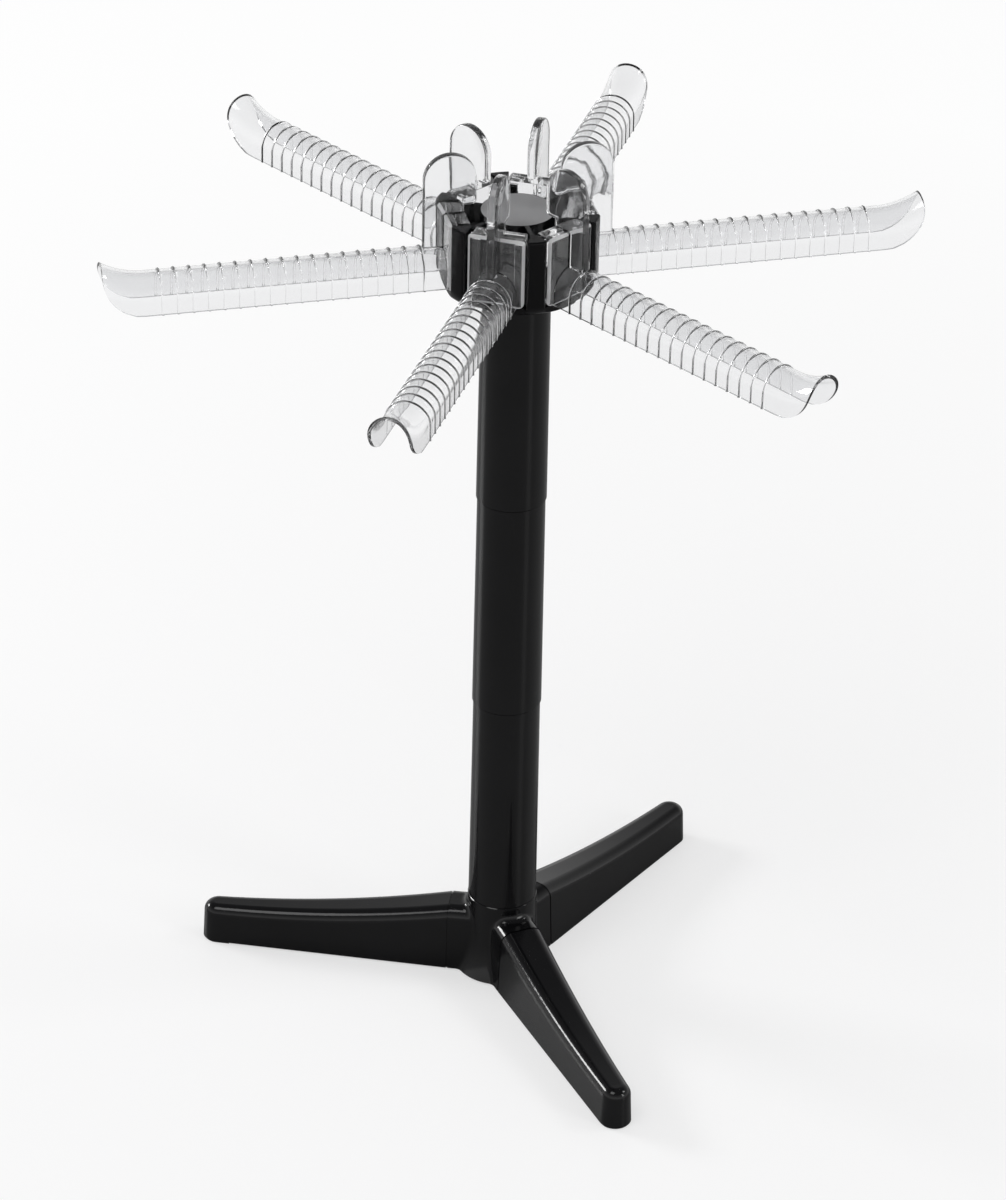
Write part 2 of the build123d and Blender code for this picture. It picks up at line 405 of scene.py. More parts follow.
class RackStageSettings(bpy.types.PropertyGroup):
    """The stage: floor, light and camera."""

    floor_size: bpy.props.FloatProperty(
        name="Floor size",
        description="Side of the square floor",
        default=30.0,
        unit="LENGTH",
    )
    floor_colour: bpy.props.FloatVectorProperty(
        name="Floor colour",
        description="Colour of the floor",
        default=(0.92, 0.92, 0.925),
        subtype="COLOR",
        min=0.0,
        max=1.0,
    )
    mirrored_colour: bpy.props.FloatVectorProperty(
        name="Mirrored floor colour",
        description="Colour of the floor near the rack as glossy surfaces mirror it",
        default=(0.3, 0.3, 0.3),
        subtype="COLOR",
        min=0.0,
        max=1.0,
    )
    lamp_aim: bpy.props.FloatProperty(
        name="Lamp aim",
        description="Height of the point on the pole at which the lamps aim",
        default=0.25,
        unit="LENGTH",
    )
    camera_distance: bpy.props.FloatProperty(
        name="Camera distance",
        description="Distance of the camera from its target on the pole",
        default=2.4526,
        unit="LENGTH",
    )
    camera_azimuth: bpy.props.FloatProperty(
        name="Camera azimuth",
        description="Angle of the camera round the pole",
        default=math.radians(6.84),
        subtype="ANGLE",
    )
    camera_elevation: bpy.props.FloatProperty(
        name="Camera elevation",
        description="Angle of the camera above the horizon",
        default=math.radians(30.70),
        subtype="ANGLE",
    )
    camera_roll: bpy.props.FloatProperty(
        name="Camera roll",
        description="Turn of the camera about its own line of sight",
        default=math.radians(1.33),
        subtype="ANGLE",
    )
    camera_target: bpy.props.FloatProperty(
        name="Camera target",
        description="Height of the camera's target on the pole",
        default=0.2093,
        unit="LENGTH",
    )
    camera_shift: bpy.props.FloatVectorProperty(
        name="Camera shift",
        description="Sideways and upward shift of the picture, in pixels of a frame 1200 pixels high",
        default=(-5.5, 19.3),
        size=2,
    )
    camera_lens: bpy.props.FloatProperty(
        name="Lens",
        description="Focal length on a sensor 36 mm high, in millimetres",
        default=145.47,
    )


# Materials


def node(tree, kind, place=(0, 0), **values):
    """A shader node with its inputs set by name."""
    made = tree.nodes.new(kind)
    made.location = place
    for name, value in values.items():
        made.inputs[name.replace("_", " ")].default_value = value
    return made


def maths(tree, operation, first, second, place, third=None):
    """The result of a math node on sockets or numbers."""
    made = node(tree, "ShaderNodeMath", place)
    made.operation = operation
    for socket, value in zip(made.inputs, (first, second, third)):
        if isinstance(value, bpy.types.NodeSocket):
            tree.links.new(value, socket)
        elif value is not None:
            socket.default_value = value
    return made.outputs["Value"]


def within(tree, value, low, high, place):
    """One where a value lies between two limits, and zero elsewhere."""
    return maths(tree, "COMPARE", value, (low + high) / 2, place, (high - low) / 2)


def vector_length(tree, vector, place, keep=None):
    """The length of a vector, where keep is given after its parts are multiplied by keep."""
    if keep is not None:
        flat = node(tree, "ShaderNodeVectorMath", (place[0] - 200, place[1]))
        flat.operation = "MULTIPLY"
        flat.inputs[1].default_value = keep
        tree.links.new(vector, flat.inputs[0])
        vector = flat.outputs["Vector"]
    length = node(tree, "ShaderNodeVectorMath", place)
    length.operation = "LENGTH"
    tree.links.new(vector, length.inputs[0])
    return length.outputs["Value"]


def mapped(tree, value, place, **limits):
    """A value mapped from one range to another, and held inside it."""
    ranges = node(tree, "ShaderNodeMapRange", place, **limits)
    tree.links.new(value, ranges.inputs["Value"])
    return ranges.outputs["Result"]


def two_tones(tree, value, place, low, high, low_place=0.0, high_place=1.0):
    """A colour ramp between two colours, whose ends stand at the two places."""
    ramp = node(tree, "ShaderNodeValToRGB", place)
    first, last = ramp.color_ramp.elements
    first.position, last.position = low_place, high_place
    first.color, last.color = (*low, 1.0), (*high, 1.0)
    tree.links.new(value, ramp.inputs["Fac"])
    return ramp.outputs["Color"]


def mixed_colour(tree, factor, colour, other, place):
    """A mix of a colour socket with a fixed colour, which shows fully where the factor is one."""
    mix = node(tree, "ShaderNodeMix", place)
    mix.data_type = "RGBA"
    tree.links.new(factor, mix.inputs["Factor"])
    first, second = [one for one in mix.inputs if one.type == "RGBA"]
    tree.links.new(colour, first)
    second.default_value = (*other, 1.0)
    return next(one for one in mix.outputs if one.type == "RGBA")


def shaded(colour, share):
    """A colour with every part multiplied by a share."""
    return tuple(share * part for part in colour)


def new_material(name):
    """An empty node material with its output node."""
    material = bpy.data.materials.new(name)
    material.use_nodes = True
    material.node_tree.nodes.clear()
    output = material.node_tree.nodes.new("ShaderNodeOutputMaterial")
    output.location = (700, 0)
    return material, material.node_tree, output


def black_plastic(name, colour, roughness, shine, cap=None):
    """Moulded black plastic: a fine orange-peel surface, faint flow clouds and uneven gloss.

    shine is the shader's specular level. cap is the radius, the least height and the colour of a satin
    face round the pole's axis, where there is one. Its colour is a lighter grey painted as sheen, in place
    of the face's reflection of the light behind.
    """
    material, tree, output = new_material(name)
    link = tree.links.new
    place = node(tree, "ShaderNodeTexCoord", (-1200, 0))
    shader = node(tree, "ShaderNodeBsdfPrincipled", (400, 0))
    shader.inputs["Specular IOR Level"].default_value = shine
    clouds = node(tree, "ShaderNodeTexNoise", (-900, 200), Scale=38.0, Detail=4.0, Roughness=0.55)
    link(place.outputs["Object"], clouds.inputs["Vector"])
    cloud = clouds.outputs["Fac"]
    darker, lighter = shaded(colour, 0.8), shaded(colour, 1.35)
    tone = two_tones(tree, cloud, (-500, 260), darker, lighter, low_place=0.3, high_place=0.75)
    gloss = mapped(tree, cloud, (-500, 0), To_Min=roughness * 0.85, To_Max=roughness * 1.2)
    if cap is not None:
        radius, height, painted_sheen_colour = cap
        inside = cap_mask(tree, place, radius, height)
        # painted sheen: a lighter grey on the tube's top face in place of its reflection; the satin is the
        # duller gloss
        tone = mixed_colour(tree, inside, tone, painted_sheen_colour, (0, 300))
        satin_dulling = 0.25
        gloss = maths(tree, "MULTIPLY_ADD", inside, satin_dulling, (0, 0), gloss)
    link(tone, shader.inputs["Base Color"])
    link(gloss, shader.inputs["Roughness"])
    peel = node(tree, "ShaderNodeTexNoise", (-900, -250), Scale=900.0, Detail=2.0, Roughness=0.5)
    link(place.outputs["Object"], peel.inputs["Vector"])
    sink = node(tree, "ShaderNodeTexNoise", (-900, -500), Scale=60.0, Detail=1.0, Roughness=0.4)
    link(place.outputs["Object"], sink.inputs["Vector"])
    fine = node(tree, "ShaderNodeBump", (-100, -300), Strength=0.25, Distance=0.00004)
    link(peel.outputs["Fac"], fine.inputs["Height"])
    broad = node(tree, "ShaderNodeBump", (150, -300), Strength=0.25, Distance=0.0002)
    link(sink.outputs["Fac"], broad.inputs["Height"])
    link(fine.outputs["Normal"], broad.inputs["Normal"])
    link(broad.outputs["Normal"], shader.inputs["Normal"])
    link(shader.outputs["BSDF"], output.inputs["Surface"])
    return material


def cap_mask(tree, place, radius, height):
    """One inside a radius from the pole's axis and above a height, and zero elsewhere."""
    reach = vector_length(tree, place.outputs["Object"], (-700, 600), keep=(1.0, 1.0, 0.0))
    near = maths(tree, "LESS_THAN", reach, radius, (-500, 600))
    parts = node(tree, "ShaderNodeSeparateXYZ", (-700, 750))
    tree.links.new(place.outputs["Object"], parts.inputs["Vector"])
    above = maths(tree, "GREATER_THAN", parts.outputs["Z"], height, (-500, 750))
    return maths(tree, "MULTIPLY", near, above, (-300, 650))


def pad_rubber(name, colour):
    """Soft black rubber: matt, with a fine grain and dusty spots."""
    material, tree, output = new_material(name)
    link = tree.links.new
    place = node(tree, "ShaderNodeTexCoord", (-1000, 0))
    shader = node(tree, "ShaderNodeBsdfPrincipled", (400, 0))
    dust = node(tree, "ShaderNodeTexNoise", (-700, 200), Scale=220.0, Detail=5.0, Roughness=0.6)
    link(place.outputs["Object"], dust.inputs["Vector"])
    dusty = shaded(colour, 2.2)
    tone = two_tones(tree, dust.outputs["Fac"], (-400, 200), colour, dusty, low_place=0.45, high_place=0.8)
    link(tone, shader.inputs["Base Color"])
    rough = mapped(tree, dust.outputs["Fac"], (-400, -50), To_Min=0.6, To_Max=0.85)
    link(rough, shader.inputs["Roughness"])
    bump = node(tree, "ShaderNodeBump", (0, -250), Strength=0.4, Distance=0.0001)
    link(dust.outputs["Fac"], bump.inputs["Height"])
    link(bump.outputs["Normal"], shader.inputs["Normal"])
    link(shader.outputs["BSDF"], output.inputs["Surface"])
    return material


# mask of the painted glint: where white frost stands in for the bevels' glints
def bevel_glint_mask(tree, place, arm):
    """One on the bevel round the front of each arm's plate, and zero elsewhere.

    Every arm is turned back to one place: the angle round the pole, less the first arm's, is wrapped
    into half a pitch either side of zero, and gives distances along and across the arm.
    """
    parts = node(tree, "ShaderNodeSeparateXYZ", (-2100, -800))
    tree.links.new(place.outputs["Object"], parts.inputs["Vector"])
    x, y, z = (parts.outputs[axis] for axis in "XYZ")
    across_square = maths(tree, "MULTIPLY", y, y, (-1900, -1000))
    square = maths(tree, "MULTIPLY_ADD", x, x, (-1750, -1000), across_square)
    radius = maths(tree, "SQRT", square, None, (-1600, -1000))
    angle = maths(tree, "ARCTAN2", y, x, (-1900, -800))
    turned_back = maths(tree, "SUBTRACT", angle, arm.turn, (-1750, -800))
    half_pitch = ARM_PITCH / 2
    wrapped = maths(tree, "WRAP", turned_back, half_pitch, (-1600, -800), -half_pitch)
    cosine = maths(tree, "COSINE", wrapped, None, (-1450, -750))
    sine = maths(tree, "SINE", wrapped, None, (-1450, -900))
    along = maths(tree, "MULTIPLY", radius, cosine, (-1300, -750))
    signed = maths(tree, "MULTIPLY", radius, sine, (-1300, -900))
    across = maths(tree, "ABSOLUTE", signed, None, (-1150, -900))
    edge, slack = arm.plate_edge, arm.part_line
    half, face = arm.plate_half_width, arm.block_face
    side = within(tree, across, half - edge - slack, half + slack, (-1000, -900))
    top = within(tree, z, arm.block_top - edge - slack, arm.block_top + slack, (-1000, -1050))
    foot = within(tree, z, arm.block_bottom - slack, arm.block_bottom + edge + slack, (-1000, -1200))
    front = within(tree, along, face - edge - slack, face + slack, (-1000, -750))
    border = maths(tree, "MAXIMUM", side, top, (-850, -900))
    border = maths(tree, "MAXIMUM", border, foot, (-700, -900))
    return maths(tree, "MULTIPLY", border, front, (-550, -800))


def clear_plastic(name, arm):
    """Clear moulded plastic: glassy, with flow lines and haze at the hub, and painted glints on the
    bevels.

    The haze is a share of scattered light. It falls from the block and its tab to the trough with the
    distance from the pole's axis. The painted glints are white frost, a larger share of scattered light.
    """
    material, tree, output = new_material(name)
    link = tree.links.new
    place = node(tree, "ShaderNodeTexCoord", (-1300, 0))
    shader = node(tree, "ShaderNodeBsdfPrincipled", (300, 200))
    shader.inputs["Transmission Weight"].default_value = 1.0
    shader.inputs["IOR"].default_value = 1.49
    flow_lines = node(tree, "ShaderNodeTexNoise", (-900, 200), Scale=70.0, Detail=3.0, Roughness=0.5)
    link(place.outputs["Object"], flow_lines.inputs["Vector"])
    flow = flow_lines.outputs["Fac"]
    tone = two_tones(tree, flow, (-450, 460), shaded(arm.plastic_tint, 0.97), arm.plastic_tint)
    link(tone, shader.inputs["Base Color"])
    rough = mapped(tree, flow, (-450, 200), To_Min=0.02, To_Max=0.06)
    link(rough, shader.inputs["Roughness"])
    bump = node(tree, "ShaderNodeBump", (0, -50), Strength=0.2, Distance=0.0003)
    link(flow, bump.inputs["Height"])
    link(bump.outputs["Normal"], shader.inputs["Normal"])
    # share of scattered light: haze with clouds, and white frost painted on the bevels as glints
    radius = vector_length(tree, place.outputs["Object"], (-900, -300), keep=(1.0, 1.0, 0.0))
    fall = mapped(
        tree,
        radius,
        (-700, -300),
        From_Min=arm.haze_start,
        From_Max=arm.haze_end,
        To_Min=arm.haze_block,
        To_Max=arm.haze_trough,
    )
    cloud = mapped(tree, flow, (-700, -550), To_Min=0.7, To_Max=1.3)
    clouded = maths(tree, "MULTIPLY", fall, cloud, (-450, -400))
    # painted glint: white frost on the plates' bevels in place of their glints
    bevel = bevel_glint_mask(tree, place, arm)
    share = maths(tree, "MULTIPLY_ADD", bevel, arm.bevel_glint_frost, (-250, -400), clouded)
    white = (0.86, 0.86, 0.87, 1.0)
    scatter = node(tree, "ShaderNodeBsdfDiffuse", (0, -300), Color=white)
    through = node(tree, "ShaderNodeBsdfTranslucent", (0, -450), Color=white)
    haze = node(tree, "ShaderNodeMixShader", (250, -350), Fac=0.35)
    link(scatter.outputs["BSDF"], haze.inputs[1])
    link(through.outputs["BSDF"], haze.inputs[2])
    mix = node(tree, "ShaderNodeMixShader", (520, 0))
    link(share, mix.inputs["Fac"])
    link(shader.outputs["BSDF"], mix.inputs[1])
    link(haze.outputs["Shader"], mix.inputs[2])
    link(mix.outputs["Shader"], output.inputs["Surface"])
    return material


def dress(names, material):
    """Gives CAD nodes a material in every one of their slots."""
    for name in names:
        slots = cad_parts[name].material_slots
        for one in slots:
            one.material = material


# Shapes of the clear arm


def bead_height(x, arm):
    """Height of the rib at x: the upper half of an ellipse about the nearest rib's middle, else zero."""
    index = np.clip(np.round((x - arm.rib_first) / arm.rib_pitch), 0, arm.rib_count - 1)
    middle = arm.rib_first + arm.rib_pitch * index
    return arm.rib_proud * np.sqrt(np.clip(1 - ((x - middle) / (arm.rib_width / 2)) ** 2, 0, 1))


def trough_stations(arm):
    """Distances along the straight trough: seven to each rib and one between ribs."""
    spread = arm.rib_width / 2 * np.array([-1.0, -0.93, -0.6, 0.0, 0.6, 0.93, 1.0])
    middles = arm.rib_first + arm.rib_pitch * np.arange(arm.rib_count)
    ribs = (middles[:, None] + spread[None, :]).ravel()
    plain = middles + arm.rib_pitch / 2
    ends = np.array([arm.block_face - arm.plate_depth / 2, arm.block_face + arm.rib_pitch / 2])
    return np.sort(np.concatenate([ends, ribs, plain[:-1], [arm.bend_start]]))


def trough_ring(grow, arm, crown_points=41, side_points=6):
    """One skin of the cross-section, from the +Y lower edge over the crown to the -Y lower edge.

    Returns y and the depth below the crown. The crown is a half circle of the half width plus grow,
    and the sides run straight down from it to the lower edge.
    """
    turn = np.linspace(0, np.pi, crown_points)
    radius = arm.half_width + grow
    side = np.linspace(arm.depth, arm.half_width, side_points + 1)[:-1]
    y = np.concatenate([np.full(side_points, 1.0), np.cos(turn), np.full(side_points, -1.0)])
    level = np.zeros(side_points)
    rise = np.concatenate([level, np.sin(turn), level])
    depth_flat = np.concatenate([side, np.full(crown_points, arm.half_width), side[::-1]])
    return radius[..., None] * y, depth_flat - radius[..., None] * rise


def trough_shell(arm):
    """The arm's trough as a closed grid of rings, in metres along +X.

    Along the straight part a ring stands at each station. Along the end each line turns about the
    bend's axis by its own angle, up to where it meets the round cut below the lip, which is the
    crossing of two circles: the line's own and the cut's.
    """
    x = trough_stations(arm)
    outer_y, outer_d = trough_ring(bead_height(x, arm), arm)
    inner_y, inner_d = trough_ring(np.full_like(x, -arm.wall), arm)
    y = np.concatenate([outer_y, inner_y[:, ::-1]], axis=1)
    depth = np.concatenate([outer_d, inner_d[:, ::-1]], axis=1)
    straight = np.stack([np.broadcast_to(x[:, None], y.shape), y, arm.crown - depth], axis=2)
    # the end's bend: two circles in the plane of the arm, the line's own and the cut's
    length = arm.reach - arm.bend_start
    radius = (length**2 + arm.end_rise**2) / (2 * arm.end_rise)
    axis = np.array([arm.bend_start, arm.crown + radius])
    high = np.array([arm.reach, arm.crown + arm.end_rise])
    low = np.array([arm.reach - arm.cut_back, arm.crown - arm.depth])
    chord = high - low
    span = np.linalg.norm(chord)
    cut_radius = (span**2 / 4 + arm.cut_sag**2) / (2 * arm.cut_sag)
    outward = np.array([chord[1], -chord[0]]) / span
    centre = (high + low) / 2 - outward * (cut_radius - arm.cut_sag)
    apart = axis - centre
    gap = np.linalg.norm(apart)
    lean = math.atan2(apart[0], apart[1])
    reach = radius + depth[-1]
    share = (reach**2 + gap**2 - cut_radius**2) / (2 * reach * gap)
    last = np.arccos(np.clip(share, -1, 1)) - lean
    bend_steps = 28
    steps = np.linspace(0, 1, bend_steps + 1)[1:, None]
    angle = steps * last[None, :]
    bent = np.stack(
        [
            axis[0] + reach * np.sin(angle),
            np.broadcast_to(y[-1], angle.shape),
            axis[1] - reach * np.cos(angle),
        ],
        axis=2,
    )
    return np.concatenate([straight, bent], axis=0)


def ring_quads(rings, points):
    """The quads between neighbouring closed rings of a grid."""
    ring = np.arange(rings - 1)[:, None] * points
    here = np.arange(points)[None, :]
    after = (here + 1) % points
    quads = np.stack([ring + here, ring + after, ring + points + after, ring + points + here], axis=2)
    return quads.reshape(-1, 4)


def shell_faces(rings, points):
    """Quads between neighbouring closed rings, and strips of quads that close both ends."""
    half = points // 2
    near = np.arange(half - 1)
    far = points - 1 - near
    first = np.stack([near, far, far - 1, near + 1], axis=1)
    last = first[:, ::-1] + (rings - 1) * points
    return np.concatenate([ring_quads(rings, points), first, last])


def mitred(outline):
    """Outward normals of a closed outline that runs anticlockwise, long enough at corners to offset it.

    At each point it is the sum of the two edges' normals divided by one plus their dot product.
    """
    edge = np.roll(outline, -1, axis=0) - outline
    edge /= np.linalg.norm(edge, axis=1)[:, None]
    normal = np.stack([edge[:, 1], -edge[:, 0]], axis=1)
    before = np.roll(normal, 1, axis=0)
    return (normal + before) / (1 + np.sum(normal * before, axis=1))[:, None]


def arc(centre, radius, start, end, count):
    """Points along a circle from one angle to another, in degrees."""
    angle = np.radians(np.linspace(start, end, count))
    return np.array(centre) + radius * np.stack([np.cos(angle), np.sin(angle)], axis=1)


def rounded_box_outline(half_width, low, high, low_round, high_round, count=9):
    """A rectangle about the second axis, anticlockwise, with one radius for each pair of corners."""
    upper = half_width - high_round
    lower = half_width - low_round
    return np.concatenate(
        [
            arc((upper, high - high_round), high_round, 0, 90, count),
            arc((-upper, high - high_round), high_round, 90, 180, count),
            arc((-lower, low + low_round), low_round, 180, 270, count),
            arc((lower, low + low_round), low_round, 270, 360, count),
        ]
    )


def eased_levels(start, end, ease, count):
    """Levels and insets of a slab between two heights whose edges are quarter circles."""
    turn = np.linspace(0, np.pi / 2, count)
    rise = ease * (1 - np.cos(turn))
    inset = ease * (1 - np.sin(turn))
    level = np.concatenate([start + rise, end - rise[::-1]])
    return level, np.concatenate([inset, inset[::-1]])


def slab(outline, level, inset, order):
    """A closed slab: the outline drawn in by an inset at each level, with a flat face at both ends.

    order says which axis each of the outline's two coordinates and the level belong to.
    """
    normal = mitred(outline)
    ring = outline[None] - normal[None] * inset[:, None, None]
    rings, points = ring.shape[:2]
    height = np.broadcast_to(level[:, None, None], (rings, points, 1))
    grid = np.concatenate([ring, height], axis=2)[..., order]
    faces = ring_quads(rings, points).tolist()
    faces.append(list(range(points - 1, -1, -1)))
    faces.append([(rings - 1) * points + index for index in range(points)])
    return grid.reshape(-1, 3), faces


def shell_object(name, coords, faces):
    """A temporary object of one closed shell, its faces turned outwards."""
    mesh = bpy.data.meshes.new(name)
    mesh.from_pydata(coords.tolist(), [], faces)
    work = bmesh.new()
    work.from_mesh(mesh)
    bmesh.ops.recalc_face_normals(work, faces=work.faces)
    work.to_mesh(mesh)
    work.free()
    shell = bpy.data.objects.new(name, mesh)
    bpy.context.collection.objects.link(shell)
    return shell


def joined(shells):
    """The mesh of one closed solid made of several that overlap, by exact boolean union."""
    base = shells[0]
    for other in shells[1:]:
        union = base.modifiers.new(other.name, "BOOLEAN")
        union.operation = "UNION"
        union.solver = "EXACT"
        union.object = other
    graph = bpy.context.evaluated_depsgraph_get()
    mesh = bpy.data.meshes.new_from_object(base.evaluated_get(graph))
    for shell in shells:
        left = shell.data
        bpy.data.objects.remove(shell)
        bpy.data.meshes.remove(left)
    return mesh


def block_lines(arm):
    """Where the block's plate, neck, head and deck meet: distances from the pole's axis, and a height.

    lap is how far one of them reaches into the next, so that the union joins them.
    """
    plate_back = arm.block_face - arm.plate_depth
    neck_back = plate_back - arm.neck_depth
    return SimpleNamespace(
        plate_back=plate_back,
        neck_back=neck_back,
        head_back=neck_back - arm.head_depth,
        deck_low=arm.block_top - arm.deck_depth,
        lap=arm.deck_depth / 2,
    )


def plate_shell(arm, lines):
    """The plate, with a rounded edge at the back and a flat bevel round the front."""
    outline = rounded_box_outline(
        arm.plate_half_width, arm.block_bottom, arm.block_top, arm.plate_low_round, arm.plate_high_round
    )
    count = 5
    level, inset = eased_levels(lines.plate_back, arm.block_face, arm.small_ease, count)
    level = np.concatenate([level[:count], [arm.block_face - arm.plate_edge, arm.block_face]])
    inset = np.concatenate([inset[:count], [0.0, arm.plate_edge]])
    return shell_object("plate", *slab(outline, level, inset, [2, 0, 1]))


def tee_shell(arm, lines):
    """The neck and the head behind the plate: a T seen from above, carried up to the deck."""
    head, neck, ease = arm.head_half_width, arm.neck_half_width, arm.small_ease
    neck_front = lines.plate_back + lines.lap * 2 / 3
    right = np.concatenate(
        [
            [(neck, neck_front), (neck, lines.neck_back)],
            arc((head - ease, lines.neck_back - ease), ease, 90, 0, count=4),
            arc((head - ease, lines.head_back + ease), ease, 0, -90, count=4),
        ]
    )
    left = right[::-1] * np.array([-1, 1])
    outline = np.concatenate([right, left])[::-1]
    low, high = arm.block_bottom + arm.part_line, lines.deck_low + lines.lap
    level, inset = eased_levels(low, high, arm.part_line, count=2)
    return shell_object("tee", *slab(outline, level, inset, [1, 0, 2]))


def deck_shell(arm, lines):
    """The flat top of the block, from the head to the plate."""
    half_width = arm.head_half_width + arm.part_line
    back, front = lines.head_back - arm.part_line, lines.plate_back + lines.lap
    outline = rounded_box_outline(half_width, back, front, arm.small_ease, arm.small_ease, count=4)
    level, inset = eased_levels(lines.deck_low, arm.block_top - arm.part_line, arm.small_ease / 2, count=4)
    return shell_object("deck", *slab(outline, level, inset, [1, 0, 2]))


def tab_shell(arm, lines):
    """The finger tab: a half round top over straight sides, with roots in the deck and the trough."""
    middle = (arm.tab_inner + arm.tab_outer) / 2
    radius = (arm.tab_outer - arm.tab_inner) / 2
    corner = arm.tab_corner
    back_root, front_root = lines.head_back + arm.small_ease, lines.plate_back + lines.lap * 5 / 4
    deck_root, trough_root = lines.deck_low + lines.lap / 2, arm.crown - arm.wall / 2
    outline = np.concatenate(
        [
            arc((middle, arm.tab_top - radius), radius, 0, 180, count=41),
            arc((arm.tab_inner + corner, arm.tab_ledge + corner), corner, 180, 270, count=7),
            [
                (back_root, arm.tab_ledge),
                (back_root, deck_root),
                (front_root, deck_root),
                (front_root, trough_root),
                (arm.tab_outer, trough_root),
            ],
        ]
    )
    half = arm.tab_thickness / 2
    level, inset = eased_levels(-half, half, arm.tab_ease, count=6)
    return shell_object("tab", *slab(outline, level, inset, [0, 2, 1]))


def arm_mesh(arm):
    """One clear arm along +X: trough, plate, neck, head, deck and finger tab in one closed solid."""
    grid = trough_shell(arm)
    faces = shell_faces(*grid.shape[:2])
    trough = shell_object("trough", grid.reshape(-1, 3), faces.tolist())
    lines = block_lines(arm)
    block = [shape(arm, lines) for shape in (plate_shell, tee_shell, deck_shell, tab_shell)]
    return joined([trough, *block])


def turned(mesh, angle, name):
    """A copy of a mesh turned about the Z axis by a rotation matrix."""
    copy = mesh.copy()
    copy.name = name
    coords = np.empty(len(copy.vertices) * 3)
    copy.vertices.foreach_get("co", coords)
    spin = np.array(
        [[math.cos(angle), math.sin(angle), 0], [-math.sin(angle), math.cos(angle), 0], [0, 0, 1]]
    )
    copy.vertices.foreach_set("co", (coords.reshape(-1, 3) @ spin).ravel())
    copy.update()
    return copy


# Operators


class RACK_OT_stand(bpy.types.Operator):
    """Gives the stand and the pole their black plastic and the feet their rubber"""

    bl_idname = "rack.stand"
    bl_label = "Stand"

    def execute(self, context):
        settings = context.scene.rack_stand
        plastic = black_plastic("stand_black_plastic", settings.plastic_colour, roughness=0.12, shine=0.36)
        dress(STAND_NODES, plastic)
        dress(PAD_NODES, pad_rubber("foot_rubber", settings.rubber_colour))
        return {"FINISHED"}


class RACK_OT_hub(bpy.types.Operator):
    """Gives the hub its black plastic and its satin cap, whose lighter grey is a painted sheen"""

    bl_idname = "rack.hub"
    bl_label = "Hub"

    def execute(self, context):
        settings = context.scene.rack_stand
        cap = (settings.cap_radius, settings.cap_height, settings.cap_sheen_colour)
        colour = settings.plastic_colour
        dress((HUB_NODE,), black_plastic("hub_black_plastic", colour, roughness=0.13, shine=0.16, cap=cap))
        return {"FINISHED"}


class RACK_OT_arms(bpy.types.Operator):
    """Makes the six clear arms"""

    bl_idname = "rack.arms"
    bl_label = "Arms"

    def execute(self, context):
        settings = context.scene.rack_arms
        material = clear_plastic("arm_clear_plastic", settings)
        mesh = arm_mesh(settings)
        mesh.materials.append(material)
        mesh.shade_smooth()
        sharpest_smooth = math.radians(35)
        mesh.set_sharp_from_angle(angle=sharpest_smooth)
        for index in range(ARM_COUNT):
            number = index + 1
            name = f"clear_arm_{number}"
            angle = settings.turn + ARM_PITCH * index
            arm = bpy.data.objects.new(name, turned(mesh, angle, name))
            context.collection.objects.link(arm)
            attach(arm, f"arm_{number}_body")
            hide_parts(f"arm_{number}")
        bpy.data.meshes.remove(mesh)
        return {"FINISHED"}


class RACK_OT_stage(bpy.types.Operator):
    """Makes the floor, the studio light and the camera"""

    bl_idname = "rack.stage"
    bl_label = "Stage"

    def execute(self, context):
        scene = context.scene
        settings = scene.rack_stage
        make_floor(settings)
        make_world(scene)
        make_lamps(scene, settings)
        make_camera(scene, settings)
        scene.view_settings.view_transform = "Standard"
        return {"FINISHED"}


